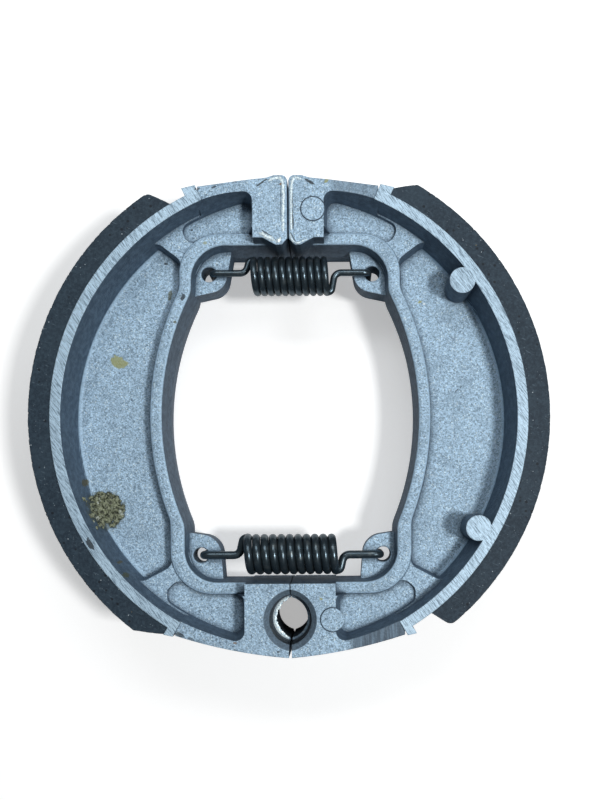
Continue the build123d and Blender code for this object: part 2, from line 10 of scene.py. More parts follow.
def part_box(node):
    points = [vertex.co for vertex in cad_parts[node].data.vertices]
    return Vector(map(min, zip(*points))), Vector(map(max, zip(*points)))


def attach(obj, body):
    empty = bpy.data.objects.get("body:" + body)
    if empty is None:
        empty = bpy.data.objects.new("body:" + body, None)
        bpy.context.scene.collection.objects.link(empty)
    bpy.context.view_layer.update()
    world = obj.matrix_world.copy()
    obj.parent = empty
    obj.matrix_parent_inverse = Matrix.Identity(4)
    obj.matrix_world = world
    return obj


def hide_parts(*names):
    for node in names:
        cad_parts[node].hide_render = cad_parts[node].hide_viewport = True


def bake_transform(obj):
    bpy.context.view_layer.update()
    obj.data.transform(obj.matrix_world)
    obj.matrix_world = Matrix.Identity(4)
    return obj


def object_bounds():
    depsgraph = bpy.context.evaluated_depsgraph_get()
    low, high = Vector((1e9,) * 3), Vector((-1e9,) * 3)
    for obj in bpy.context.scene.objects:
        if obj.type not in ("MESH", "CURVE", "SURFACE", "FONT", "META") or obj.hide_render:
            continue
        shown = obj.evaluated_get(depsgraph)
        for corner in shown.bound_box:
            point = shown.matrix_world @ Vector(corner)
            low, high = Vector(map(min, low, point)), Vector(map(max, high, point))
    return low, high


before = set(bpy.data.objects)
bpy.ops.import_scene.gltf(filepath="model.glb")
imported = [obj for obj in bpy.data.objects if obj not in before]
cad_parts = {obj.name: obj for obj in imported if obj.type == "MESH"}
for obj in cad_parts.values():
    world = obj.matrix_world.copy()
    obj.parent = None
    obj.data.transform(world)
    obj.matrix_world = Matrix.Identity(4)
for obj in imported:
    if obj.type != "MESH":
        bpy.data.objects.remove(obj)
cad_low, cad_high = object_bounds()

# The pair of shoes as it lies: metres, +Z up, the drum's axis at the origin
MM = 0.001
TOP = cad_high.z
MIDDLE = TOP / 2

# The photograph, taken straight down from a little right of and below the object's middle:
# its size in pixels, metres to a pixel at the rim's level, the pixels that show the drum's
# axis and the point below the lens, the roll in radians, the lens's distance from the rim's
# level, and the sensor's width in mm
PHOTO_SIZE = (600, 800)
PHOTO_SCALE = 0.24074 * MM
PHOTO_AXIS = (288.9, 416.5)
PHOTO_NADIR = (342.0, 505.0)
PHOTO_ROLL = 0.0058
CAMERA_DISTANCE = 0.220
SENSOR = 36.0

# Heights of the casting's levels, and of three places on the rim's inner wall
RIM_LEVEL = TOP
END_LEVEL = TOP - 0.3 * MM
BEAD_LEVEL = MIDDLE + 8.4 * MM
POCKET_LEVEL = MIDDLE + 6.6 * MM
WEB_LEVEL = MIDDLE + 3.25 * MM
LOW_WALL = MIDDLE + 5.1 * MM
MIDDLE_WALL = MIDDLE + 8.9 * MM
HIGH_WALL = MIDDLE + 11.6 * MM

# The anchor pin's socket in mm: its place along Y, how far its arcs' centres lie past the
# mating plane, its mouth's radius, its chamfer's depth, its bore's radius, and the radius
# where its ledge begins to darken
SOCKET_PLACE = -49.1
SOCKET_OFFSET = 1.1
SOCKET_MOUTH = 7.6
SOCKET_CHAMFER = 1.6
SOCKET_BORE = 6.35
SOCKET_LEDGE = 5.6

# Lamps: the key lamp stands to the right of and below the picture, the soft one near its top
KEY_AZIMUTH = -13.3
KEY_ELEVATION = 64.3
KEY_DISTANCE = 0.71
KEY_SIZE = (0.09, 0.09)
KEY_POWER = 2.85
KEY_COLOUR = (1.0, 0.99, 0.97)
CEILING_AZIMUTH = 92.0
CEILING_ELEVATION = 58.0
CEILING_DISTANCE = 0.34
CEILING_SIZE = (0.30, 0.10)
CEILING_POWER = 0.38
CEILING_COLOUR = (0.97, 0.99, 1.0)
SKY_COLOUR = (0.93, 0.97, 1.0)
SKY_STRENGTH = 0.105

# The floor, and how much it is lifted towards white where the camera sees it
FLOOR_COLOUR = (0.86, 0.87, 0.88)
FLOOR_LIFT = 0.42
FLOOR_REACH = 4.0
FLOOR_HEIGHT = -0.05 * MM
WHITE = (1.0, 1.0, 1.0)

# Colours, linear
CAST_LIGHT = (0.545, 0.77, 0.98)
CAST_DARK = (0.170, 0.253, 0.340)
CAST_GLINT = (0.80, 0.95, 1.0)
# Painted shade for upright walls, inside corners and pits; also the dark of the left rim's end blotches
WALL_SHADE_AND_BLOTCH = (0.063, 0.102, 0.152)
MILLED_LIGHT = (0.56, 0.76, 0.93)
MILLED_DARK = (0.17, 0.25, 0.33)
FLASH_LIGHT = (0.86, 0.98, 1.0)
FLASH_DARK = (0.40, 0.55, 0.68)
END_DARK = (0.073, 0.107, 0.147)
SOCKET_GREY = (0.112, 0.157, 0.205)
LINING_COLOUR = (0.013, 0.027, 0.044)
LINING_EDGE = (0.034, 0.060, 0.086)
FIBRE = (0.18, 0.25, 0.31)
SPRING_COLOUR = (0.068, 0.098, 0.120)
SPRING_RUB = (0.16, 0.19, 0.20)
SPRING_BARE = (0.30, 0.33, 0.34)
CRUST_DARK = (0.022, 0.027, 0.014)
CRUST_LIGHT = (0.27, 0.30, 0.20)
CRUST_PALE = (0.42, 0.47, 0.42)
OLIVE = (0.085, 0.09, 0.035)
YELLOW_STAIN = (0.33, 0.34, 0.11)
RUST = (0.22, 0.115, 0.03)
DARK_RUST = (0.10, 0.085, 0.03)
# Near black: dark dirt, chips, dents and scratches; painted shade in the bore, creases and laps
SOOT_AND_SHADE = (0.02, 0.028, 0.036)
SPECK = (0.75, 0.82, 0.88)

# Grain of the casting's skin, in features to a millimetre
FINE_GRAIN = 4.6
SAND_GRAIN = 2.7
SOFT_GRAIN = 1.0
RELIEF_GRAIN = 2.0
BROAD_TONE = 0.16
WALL_GRAIN = 0.7
END_MOTTLE = 0.8
SOCKET_GRAIN = 2.2
STAIN_GRAIN = 1.3

# The skin's speckle: the shares of fine grain, sand and soft tone in it, its contrast and
# offset, the rare cells that show as painted glints and as pits in painted shade, and how
# strong those are
FINE_SHARE = 0.40
SAND_SHARE = 0.32
SOFT_SHARE = 0.28
SPECKLE_CONTRAST = 1.7
SPECKLE_OFFSET = -0.35
RARE_CELLS = (0.95, 0.98)
GLINT_STRENGTH = 0.8
PIT_SHADE_STRENGTH = 0.5

# The depth of the skin's relief, the rounding of the casting's edges, how far from an inside
# corner the painted shade reaches, and how open a place is where that shade begins and where it
# is full
CAST_RELIEF = 0.22 * MM
EDGE_ROUNDING = 0.35 * MM
CORNER_REACH = 2.2 * MM
CORNER_SHADE = (0.92, 0.42)

# Where looks change on the castings: how level a face is where it turns to a wall in painted
# shade and on both sides of a rounded shoulder with a painted highlight, the heights in mm from
# the rim's edges of its milled strips and of its ends, and the X in mm where the left shoe's
# ends turn blotchy
WALL_TILT = (0.75, 0.35)
SHOULDER_WALL_SIDE = (0.4, 0.6)
SHOULDER_LEVEL_SIDE = (0.97, 0.85)
MILLED_HEIGHT = (-0.12, -0.05)
END_BOTTOM = (-0.55, -0.4)
END_TOP = (-0.1, -0.2)
LEFT_ENDS = (-11.5, -13.5)

# Streaks: their turn from +Y in degrees, and how many lie across and along a millimetre
CUTTER_MARKS = (36, 4.4, 0.34)
CUTTER_SHADES = (46, 0.7, 0.12)
DRAWN_MARKS = (2, 1.9, 0.16)
LINING_FIBRES = (63, 2.6, 0.35)

# Specks in the linings: cells to a millimetre, a speck's radius as a share of its cell, the
# share of the cells that stay empty, and the speck's colour
LINING_SPECKS = [
    (0.9, 0.15, 0.84, (0.42, 0.49, 0.55)),
    (1.9, 0.18, 0.86, (0.24, 0.30, 0.34)),
    (0.55, 0.12, 0.88, (0.20, 0.15, 0.06)),
    (0.7, 0.30, 0.80, (0.006, 0.012, 0.02)),
]

# The linings: the radius of their arc, the wear and the chips of their sharp edges, the
# chips' waves and clusters to a millimetre, the wave's height where a chip starts, how far
# their drum face is uneven, and the spacing of their mesh
LINING_RADIUS = 65.0 * MM
EDGE_WEAR = 0.10 * MM
CHIP = 0.55 * MM
CHIP_WAVES = 1.9
CHIP_CLUSTERS = 0.31
CHIP_START = 0.16
FACE_WEAR = 0.12 * MM
FACE_ROUGHNESS = 0.05 * MM
ARC_STEP = 0.28 * MM
SIDE_ROWS = 5
FACE_ROWS = 10

# Angles in degrees above which an edge of an added mesh stays sharp
LINING_SHARP = 35
LUMP_SHARP = 60

# The crust in the left shoe's main pocket: its middle in the photograph, its random seed,
# its number of grains, their spread, its height as a share of its width, and how high up the
# rim's wall it lies
DEPOSIT_PLACE = (105, 510)
DEPOSIT_SEED = 11
DEPOSIT_GRAINS = 330
DEPOSIT_REACH = 4.7 * MM
DEPOSIT_TALL = 0.95
DEPOSIT_CLIMB = 6 * MM

# Its grains: their radius, how far their surface is dented, how flat they are, how far their
# middle lies above the ground as a share of their radius, and the spacing of their mesh
GRAIN_SIZES = (0.30 * MM, 1.0 * MM)
GRAIN_DENTS = (0.72, 1.15)
GRAIN_FLATNESS = 0.7
GRAIN_LIFT = 0.35
GRAIN_COLUMNS = 7
GRAIN_ROWS = 5

# Ridges of flash on the pads: the spacing of their mesh, how far their sides sink into the
# pad, their thickness, how far below the pad's level they follow its rounded edge, how far
# below it they hang where nothing carries them, the room left below the rim's level, the
# steps over which their ends taper, and the share of their size left at the tips
RIDGE_STEP = 0.18 * MM
RIDGE_ROWS = 6
RIDGE_SINK = 0.05 * MM
RIDGE_THICK = 0.25 * MM
RIDGE_DROP = 1.2 * MM
RIDGE_HANG = 0.5 * MM
RIDGE_ROOM = 0.02 * MM
RIDGE_TAPER = 5
RIDGE_END = 0.15

# Flash on the ledge in the left half socket: the ledge's inner radius and level, how far the
# flash reaches inwards, its outer radius, its thickness, the rise of its middle, its relief,
# how far it lies above the ledge, the angles in degrees that it spans, the spacing of its
# mesh, and how fast its ends fade
SEAT_RADIUS = 5.15 * MM
SEAT_LEVEL = MIDDLE + 8.2 * MM
SEAT_FLASH = 0.85 * MM
SEAT_FLASH_OUTER = SEAT_RADIUS + 0.50 * MM
SEAT_FLASH_THICK = 0.35 * MM
SEAT_FLASH_CROWN = 0.10 * MM
SEAT_FLASH_RELIEF = 0.07 * MM
SEAT_FLASH_LIFT = 0.05 * MM
SEAT_FLASH_ANGLES = (108, 252)
SEAT_FLASH_STEPS = 70
SEAT_FLASH_ROWS = 4
SEAT_FLASH_FADE = 6

SurfaceMark = namedtuple("SurfaceMark", "what px py level radius tint strength tall turn")

# How far a stain reaches above and below its level beyond its half length, in mm, and the
# softness of its outline
PATCH_DEPTH = 1.2
PATCH_EDGE = (-0.12, 0.14)

# Dirt and damage on the castings, and painted shade in creases and along lapped edges: where
# each shows in the photograph, its level, its half length in mm, its colour, how strongly it
# covers, its width as a share of its length, and its turn from +X in degrees
STAINS_AND_SHADE = [
    SurfaceMark("olive crust's stain", 103, 511, WEB_LEVEL, 5.2, OLIVE, 0.55, 0.9, 0),
    SurfaceMark("yellow stain, left floor", 119, 362, WEB_LEVEL, 2.2, YELLOW_STAIN, 0.8, 0.62, -15),
    SurfaceMark("rust by the left rim", 85, 483, LOW_WALL, 1.1, DARK_RUST, 0.8, 0.6, 70),
    SurfaceMark("rust below the crust", 120, 562, MIDDLE_WALL, 0.7, DARK_RUST, 0.8, 0.6, 30),
    SurfaceMark("olive below the crust", 126, 575, HIGH_WALL, 0.8, OLIVE, 0.8, 0.8, 0),
    SurfaceMark("olive dirt by the left bead", 170, 295, WEB_LEVEL, 1.3, OLIVE, 0.75, 0.4, 80),
    SurfaceMark("olive dirt on the left bead", 175, 322, BEAD_LEVEL, 0.4, OLIVE, 0.8, 0.8, 0),
    SurfaceMark("yellow speck, right floor", 420, 302, WEB_LEVEL, 0.5, YELLOW_STAIN, 0.8, 0.7, 20),
    SurfaceMark("white speck beside it", 424, 304, WEB_LEVEL, 0.3, SPECK, 0.9, 0.8, 0),
    SurfaceMark("dark speck, left cam pocket", 192, 230, POCKET_LEVEL, 0.3, SOOT_AND_SHADE, 0.9, 1.0, 0),
    SurfaceMark("yellow speck on the left bead", 205, 243, BEAD_LEVEL, 0.5, YELLOW_STAIN, 0.55, 0.8, 0),
    SurfaceMark("rust on the left pad", 281, 184, END_LEVEL, 0.42, RUST, 0.85, 0.7, 20),
    SurfaceMark("yellow speck by the right pad", 326, 181, END_LEVEL, 0.6, YELLOW_STAIN, 0.75, 0.6, 30),
    SurfaceMark("yellow speck, anchor block", 321, 599, END_LEVEL, 0.35, YELLOW_STAIN, 0.7, 0.8, 0),
    SurfaceMark("rust on the left heel wall", 235, 643, END_LEVEL, 0.5, RUST, 0.7, 0.6, 0),
    SurfaceMark("dark chip, left milled edge", 90, 544, RIM_LEVEL, 1.6, SOOT_AND_SHADE, 0.9, 0.42, -62),
    SurfaceMark("dent on the left bead", 183, 297, BEAD_LEVEL, 0.9, SOOT_AND_SHADE, 0.85, 0.5, 60),
    SurfaceMark("dark speck, left floor", 163, 358, WEB_LEVEL, 0.35, SOOT_AND_SHADE, 0.8, 1.0, 0),
    SurfaceMark("dark dirt, left floor's top", 166, 264, WEB_LEVEL, 0.5, SOOT_AND_SHADE, 0.8, 0.6, 0),
    SurfaceMark("scratch, right floor", 457, 390, WEB_LEVEL, 0.75, SOOT_AND_SHADE, 0.8, 0.16, 45),
    SurfaceMark("second scratch beside it", 461, 387, WEB_LEVEL, 0.55, SOOT_AND_SHADE, 0.7, 0.16, 45),
    SurfaceMark("speck, right floor", 473, 345, WEB_LEVEL, 0.22, SOOT_AND_SHADE, 0.8, 0.8, 0),
    # Painted shade in the creases beside the pads
    SurfaceMark("crease by the left pad", 261, 183, END_LEVEL, 1.5, SOOT_AND_SHADE, 0.9, 0.14, 34),
    SurfaceMark("crease by the right pad", 310, 182, END_LEVEL, 1.5, SOOT_AND_SHADE, 0.9, 0.2, -32),
    # Painted shade along the pads' lapped edges
    SurfaceMark("lapped edge, right pad", 292.9, 221, END_LEVEL, 2.0, SOOT_AND_SHADE, 0.85, 0.09, 92),
    SurfaceMark("lapped edge, right pad's top", 292.7, 203, END_LEVEL, 2.4, SOOT_AND_SHADE, 0.6, 0.065, 90),
    SurfaceMark("lapped edge, right pad's foot", 293, 237, END_LEVEL, 1.3, SOOT_AND_SHADE, 0.8, 0.12, -62),
    SurfaceMark("lapped edge, left pad", 280.6, 205, END_LEVEL, 4.6, SOOT_AND_SHADE, 0.5, 0.034, 90),
    SurfaceMark("lap above the left pad's tip", 268.5, 234.6, END_LEVEL, 1.9, SOOT_AND_SHADE, 0.85, 0.10, -34),
    SurfaceMark("chip, left cam wall", 197, 189, END_LEVEL, 0.6, SOOT_AND_SHADE, 0.8, 0.5, 10),
    SurfaceMark("chip beside it", 214, 187, END_LEVEL, 0.6, SOOT_AND_SHADE, 0.8, 0.45, 15),
    SurfaceMark("chips, left heel wall", 180, 635, END_LEVEL, 1.2, SOOT_AND_SHADE, 0.8, 0.4, -20),
    SurfaceMark("chips beside them", 191, 639, END_LEVEL, 0.8, SOOT_AND_SHADE, 0.6, 0.4, -20),
    SurfaceMark("chip at the anchor block's foot", 278, 652, END_LEVEL, 0.3, SOOT_AND_SHADE, 0.8, 0.8, 0),
]

# The ends of the rim that are darker and finely drawn: their reach in the photograph's
# columns, the row that crosses them, and how dark they are; then how far along Y they start,
# in mm
DARK_ENDS = {
    "right heel end": (352, 409, 630, 0.95),
    "right cam end": (331, 381, 187, 0.55),
}
END_REACH = 40.0

# Flash and rolled-over edges on the castings' pads: the line of each in the photograph, its
# half width and its height in mm
Ridge = namedtuple("Ridge", "name body line wide high")
RIDGES = [
    Ridge(
        "left_pad_edge",
        "left_shoe",
        [(268, 181.5), (273, 178), (279, 177.2), (282.5, 181), (283.2, 195), (283, 215), (282.8, 233)],
        0.42,
        0.16,
    ),
    Ridge(
        "left_pad_tip",
        "left_shoe",
        [(258.5, 232.8), (263.5, 234.6), (269, 237.4), (275.5, 241)],
        0.60,
        0.22,
    ),
    Ridge(
        "left_pad_toe",
        "left_shoe",
        [(275.5, 242.5), (278.5, 240.5), (280.8, 237)],
        0.6,
        0.22,
    ),
    Ridge(
        "right_pad_edge",
        "right_shoe",
        [(303, 179.5), (297, 177.5), (292.5, 179), (291.2, 186), (290.8, 200), (290.9, 215), (291, 231)],
        0.40,
        0.16,
    ),
    Ridge(
        "right_pad_tip",
        "right_shoe",
        [(290.2, 233), (290.6, 238), (293.5, 242), (297, 243.6), (302, 241.2), (307, 238.6)],
        0.30,
        0.18,
    ),
]


def spot(px, py, level):
    """Place on the object that shows at a pixel of the photograph, at a known height."""
    grow = 1 + (TOP - level) / CAMERA_DISTANCE
    x = PHOTO_NADIR[0] + (px - PHOTO_NADIR[0]) * grow - PHOTO_AXIS[0]
    y = PHOTO_NADIR[1] + (py - PHOTO_NADIR[1]) * grow - PHOTO_AXIS[1]
    right = (x - PHOTO_ROLL * y) * PHOTO_SCALE
    up = -(y + PHOTO_ROLL * x) * PHOTO_SCALE
    return Vector((right, up, level))


class Shader:
    """A material's node tree, with short calls for the nodes that are used often."""

    def __init__(self, name):
        self.material = bpy.data.materials.new(name)
        self.material.use_nodes = True
        self.tree = self.material.node_tree
        self.principled = self.tree.nodes["Principled BSDF"]
        coordinates = self.tree.nodes.new("ShaderNodeTexCoord")
        scale = self.tree.nodes.new("ShaderNodeVectorMath")
        scale.operation = "SCALE"
        scale.inputs["Scale"].default_value = 1 / MM
        self.plug(coordinates.outputs["Object"], scale.inputs[0])
        self.place = scale.outputs["Vector"]

    def plug(self, value, socket):
        """Links a socket's value, or sets a plain one."""
        if isinstance(value, bpy.types.NodeSocket):
            self.tree.links.new(value, socket)
        elif socket.type == "RGBA":
            socket.default_value = (*value, 1.0)
        else:
            socket.default_value = value

    def length(self, value):
        node = self.tree.nodes.new("ShaderNodeVectorMath")
        node.operation = "LENGTH"
        self.plug(value, node.inputs[0])
        return node.outputs["Value"]

    def math(self, operation, first, second=0.0):
        node = self.tree.nodes.new("ShaderNodeMath")
        node.operation = operation
        self.plug(first, node.inputs[0])
        self.plug(second, node.inputs[1])
        return node.outputs[0]

    def line(self, value, slope, start):
        """A value times a slope, with a start added."""
        node = self.tree.nodes.new("ShaderNodeMath")
        node.operation = "MULTIPLY_ADD"
        self.plug(value, node.inputs[0])
        node.inputs[1].default_value = slope
        node.inputs[2].default_value = start
        return node.outputs[0]

    def product(self, first, *others):
        for other in others:
            first = self.math("MULTIPLY", first, other)
        return first

    def ramp(self, value, low, high):
        """0 below low and 1 above high, smooth between; low may be above high."""
        node = self.tree.nodes.new("ShaderNodeMapRange")
        node.interpolation_type = "SMOOTHSTEP"
        self.plug(value, node.inputs["Value"])
        flip = low > high
        node.inputs["From Min"].default_value = min(low, high)
        node.inputs["From Max"].default_value = max(low, high)
        node.inputs["To Min"].default_value = 1.0 if flip else 0.0
        node.inputs["To Max"].default_value = 0.0 if flip else 1.0
        return node.outputs["Result"]

    def mix(self, factor, first, second):
        """Colour from first at factor 0 to second at factor 1."""
        node = self.tree.nodes.new("ShaderNodeMix")
        node.data_type = "RGBA"
        self.plug(factor, node.inputs["Factor"])
        inputs = [socket for socket in node.inputs if socket.type == "RGBA"]
        self.plug(first, inputs[0])
        self.plug(second, inputs[1])
        return [socket for socket in node.outputs if socket.type == "RGBA"][0]

    def noise(self, place, scale, detail=2.0, roughness=0.5):
        node = self.tree.nodes.new("ShaderNodeTexNoise")
        self.plug(place, node.inputs["Vector"])
        node.inputs["Scale"].default_value = scale
        node.inputs["Detail"].default_value = detail
        node.inputs["Roughness"].default_value = roughness
        return node.outputs["Fac"]

    def cells(self, scale):
        """Cells of random size and colour, this many to a millimetre."""
        node = self.tree.nodes.new("ShaderNodeTexVoronoi")
        self.plug(self.place, node.inputs["Vector"])
        node.inputs["Scale"].default_value = scale
        return node

    def local(self, centre, turn, sizes):
        """Place as seen from a centre, turned about Z and measured in three sizes."""
        node = self.tree.nodes.new("ShaderNodeMapping")
        node.vector_type = "TEXTURE"
        self.plug(self.place, node.inputs["Vector"])
        node.inputs["Location"].default_value = centre
        node.inputs["Rotation"].default_value = (0, 0, radians(turn))
        node.inputs["Scale"].default_value = sizes
        return node.outputs["Vector"]

    def streaks(self, turn, across, along, detail=2.0, roughness=0.5):
        """Noise drawn out into streaks that run at an angle from +Y."""
        place = self.local((0, 0, 0), turn, (1 / across, 1 / along, 1 / across))
        return self.noise(place, 1.0, detail, roughness)

    def parts(self, value):
        node = self.tree.nodes.new("ShaderNodeSeparateXYZ")
        self.plug(value, node.inputs[0])
        return node.outputs

    def levelness(self):
        """1 on level faces, from above or from below, and 0 on upright walls."""
        geometry = self.tree.nodes.new("ShaderNodeNewGeometry")
        return self.math("ABSOLUTE", self.parts(geometry.outputs["True Normal"])[2])

    def corners(self, distance):
        """1 deep in an inside corner and 0 on open faces."""
        node = self.tree.nodes.new("ShaderNodeAmbientOcclusion")
        node.samples = 6
        node.inputs["Distance"].default_value = distance
        return self.ramp(node.outputs["AO"], *CORNER_SHADE)

    def patch(self, centre, radius, tall, turn, wobble):
        """1 inside a ragged oval about a place on the object, 0 outside it."""
        middle = tuple(c / MM for c in centre)
        sizes = (radius, radius * tall, PATCH_DEPTH + radius)
        distance = self.length(self.local(middle, turn, sizes))
        return self.ramp(self.math("SUBTRACT", wobble, distance), *PATCH_EDGE)

    def soft_edges(self, radius):
        node = self.tree.nodes.new("ShaderNodeBevel")
        node.samples = 4
        node.inputs["Radius"].default_value = radius
        return node.outputs["Normal"]

    def bump(self, height, distance, strength=1.0, normal=None):
        node = self.tree.nodes.new("ShaderNodeBump")
        node.inputs["Strength"].default_value = strength
        node.inputs["Distance"].default_value = distance
        self.plug(height, node.inputs["Height"])
        if normal is not None:
            self.plug(normal, node.inputs["Normal"])
        return node.outputs["Normal"]

    def paint(self, colour, roughness, metallic, normal, specular=0.5):
        self.plug(colour, self.principled.inputs["Base Color"])
        self.plug(roughness, self.principled.inputs["Roughness"])
        self.plug(normal, self.principled.inputs["Normal"])
        self.principled.inputs["Metallic"].default_value = metallic
        self.principled.inputs["Specular IOR Level"].default_value = specular
        return self.material


def cast_skin(s, fine):
    """Sandy speckle with a few painted glints and pits darkened with painted shade."""
    sand = s.parts(s.cells(SAND_GRAIN).outputs["Color"])
    soft = s.noise(s.place, SOFT_GRAIN, 3.0, 0.75)
    broad = s.noise(s.place, BROAD_TONE)
    speckle = s.math("ADD", s.product(fine[0], FINE_SHARE), s.product(sand[0], SAND_SHARE))
    speckle = s.math("ADD", speckle, s.product(soft, SOFT_SHARE))
    colour = s.mix(s.line(speckle, SPECKLE_CONTRAST, SPECKLE_OFFSET), CAST_DARK, CAST_LIGHT)
    # Painted glints: rare fine cells lifted to a bright highlight colour
    glints = s.product(s.ramp(fine[1], *RARE_CELLS), GLINT_STRENGTH)
    colour = s.mix(glints, colour, CAST_GLINT)
    # Painted shade in pits: rare sand cells darkened to the shaded wall colour
    pits = s.product(s.ramp(sand[1], *RARE_CELLS), PIT_SHADE_STRENGTH)
    colour = s.mix(pits, colour, WALL_SHADE_AND_BLOTCH)
    return s.mix(s.product(s.ramp(broad, 0.45, 0.7), 0.22), colour, CAST_DARK)


def shaded_walls(s, levelness, steep, colour):
    """Colour with painted shade on walls and in inside corners, and painted highlight on shoulders."""
    grain = s.noise(s.place, WALL_GRAIN, 3.0)
    # Painted shade on upright walls, with a little grain
    wall = s.mix(s.product(s.ramp(grain, 0.3, 0.8), 0.5), WALL_SHADE_AND_BLOTCH, CAST_DARK)
    colour = s.mix(steep, colour, wall)
    # Painted highlight along the rounded shoulders where a level face turns into a wall
    wall_side = s.ramp(levelness, *SHOULDER_WALL_SIDE)
    level_side = s.ramp(levelness, *SHOULDER_LEVEL_SIDE)
    colour = s.mix(s.product(wall_side, level_side, 0.5), colour, CAST_LIGHT)
    # Painted shade deep in inside corners, from ambient occlusion
    return s.mix(s.product(s.corners(CORNER_REACH), 0.95), colour, WALL_SHADE_AND_BLOTCH)


def milled_face(s, fine, marks):
    """Bright metal with fine cutter marks and broader, darker passes."""
    shades = s.streaks(*CUTTER_SHADES)
    colour = s.mix(s.ramp(marks, 0.36, 0.54), MILLED_DARK, MILLED_LIGHT)
    colour = s.mix(s.product(s.ramp(shades, 0.45, 0.75), 0.30), colour, MILLED_DARK)
    return s.mix(s.product(fine[2], 0.35), colour, MILLED_DARK)


def dark_ends(s, x, y, at_end, colour):
    """Colour with the dark, drawn look of the ends in DARK_ENDS laid over it."""
    drawn = s.streaks(*DRAWN_MARKS, 3.0, 0.6)
    drawn_colour = s.mix(s.ramp(drawn, 0.35, 0.75), END_DARK, CAST_DARK)
    for low_px, high_px, row, strength in DARK_ENDS.values():
        low = spot(low_px, row, END_LEVEL)
        high = spot(high_px, row, END_LEVEL)
        side = 1 if low.y > 0 else -1
        left = s.ramp(x, low.x / MM - 1.5, low.x / MM + 1.0)
        right = s.ramp(x, high.x / MM + 0.5, high.x / MM)
        reach = s.ramp(s.product(y, side), END_REACH, END_REACH + 1)
        inside = s.product(left, right, reach, at_end, strength)
        colour = s.mix(inside, colour, drawn_colour)
    return colour


def mottled_ends(s, x, at_end, colour):
    """Colour with dark blotches on the ends of the left shoe's rim."""
    mottle = s.noise(s.place, END_MOTTLE, 4.0, 0.7)
    inside = s.product(at_end, s.ramp(x, *LEFT_ENDS), s.ramp(mottle, 0.54, 0.66), 0.75)
    return s.mix(inside, colour, WALL_SHADE_AND_BLOTCH)


def socket_look(s, x, y, height, steep, colour):
    """Colour with the socket's grey chamfer, painted shade on its bore's walls, and a dark ledge ring.
    """
    turned = s.noise(s.place, SOCKET_GRAIN, 3.0, 0.7)
    grey = s.mix(s.ramp(turned, 0.35, 0.7), SOCKET_GREY, CAST_DARK)
    across = s.math("ADD", s.math("ABSOLUTE", x), SOCKET_OFFSET)
    along = s.math("SUBTRACT", y, SOCKET_PLACE)
    out = s.math("SQRT", s.math("ADD", s.product(across, across), s.product(along, along)))
    mouth = s.ramp(out, SOCKET_MOUTH, SOCKET_MOUTH - 0.12)
    chamfer = s.product(mouth, s.ramp(height, -SOCKET_CHAMFER - 0.1, -SOCKET_CHAMFER))
    colour = s.mix(chamfer, colour, grey)
    # Painted shade on the bore's upright walls; the outer ring of the ledge is darkened too
    dark = s.math("MAXIMUM", steep, s.ramp(out, SOCKET_LEDGE, SOCKET_LEDGE + 0.2))
    below = s.ramp(height, -SOCKET_CHAMFER + 0.1, -SOCKET_CHAMFER)
    bore = s.product(s.ramp(out, SOCKET_BORE, SOCKET_BORE - 0.1), dark, below, 0.85)
    return s.mix(bore, colour, SOOT_AND_SHADE)


def stained_and_shaded(s, colour):
    """Colour with the listed dirt and damage, and painted shade in creases and at lapped edges."""
    wobble = s.line(s.noise(s.place, STAIN_GRAIN, 3.0), 1.5, 0.25)
    for stain in STAINS_AND_SHADE:
        centre = spot(stain.px, stain.py, stain.level)
        inside = s.patch(centre, stain.radius, stain.tall, stain.turn, wobble)
        colour = s.mix(s.product(inside, stain.strength), colour, stain.tint)
    return colour


def cast_aluminium():
    """Die-cast aluminium: sandy where cast, bright and streaked where milled, painted shade on walls."""
    s = Shader("cast_aluminium_worn")
    x, y, z = s.parts(s.place)
    half = MIDDLE / MM
    height = s.math("SUBTRACT", s.math("ABSOLUTE", s.math("SUBTRACT", z, half)), half)
    levelness = s.levelness()
    steep = s.ramp(levelness, *WALL_TILT)
    level = s.math("SUBTRACT", 1.0, steep)
    milled = s.product(s.ramp(height, *MILLED_HEIGHT), level)
    at_end = s.product(s.ramp(height, *END_BOTTOM), s.ramp(height, *END_TOP))

    fine = s.parts(s.cells(FINE_GRAIN).outputs["Color"])
    marks = s.streaks(*CUTTER_MARKS, 2.0, 0.8)
    colour = shaded_walls(s, levelness, steep, cast_skin(s, fine))
    colour = s.mix(milled, colour, milled_face(s, fine, marks))
    colour = dark_ends(s, x, y, s.product(at_end, level), colour)
    colour = mottled_ends(s, x, at_end, colour)
    colour = socket_look(s, x, y, height, steep, colour)
    colour = stained_and_shaded(s, colour)

    sandy = s.noise(s.place, RELIEF_GRAIN, 2.0, 0.7)
    relief = s.product(sandy, s.math("SUBTRACT", 1.0, milled))
    relief = s.math("ADD", relief, s.product(marks, milled, 0.35))
    normal = s.bump(relief, CAST_RELIEF, 1.0, s.soft_edges(EDGE_ROUNDING))
    return s.paint(colour, s.line(milled, -0.12, 0.60), 0.22, normal)


def burnished_aluminium():
    """Flash and rolled-over edges of the casting, rubbed bright."""
    s = Shader("burnished_flash")
    grain = s.noise(s.place, 2.4, 3.0, 0.7)
    colour = s.mix(s.ramp(grain, 0.36, 0.60), FLASH_DARK, FLASH_LIGHT)
    return s.paint(colour, 0.42, 0.35, s.bump(grain, 0.12 * MM, 0.8))


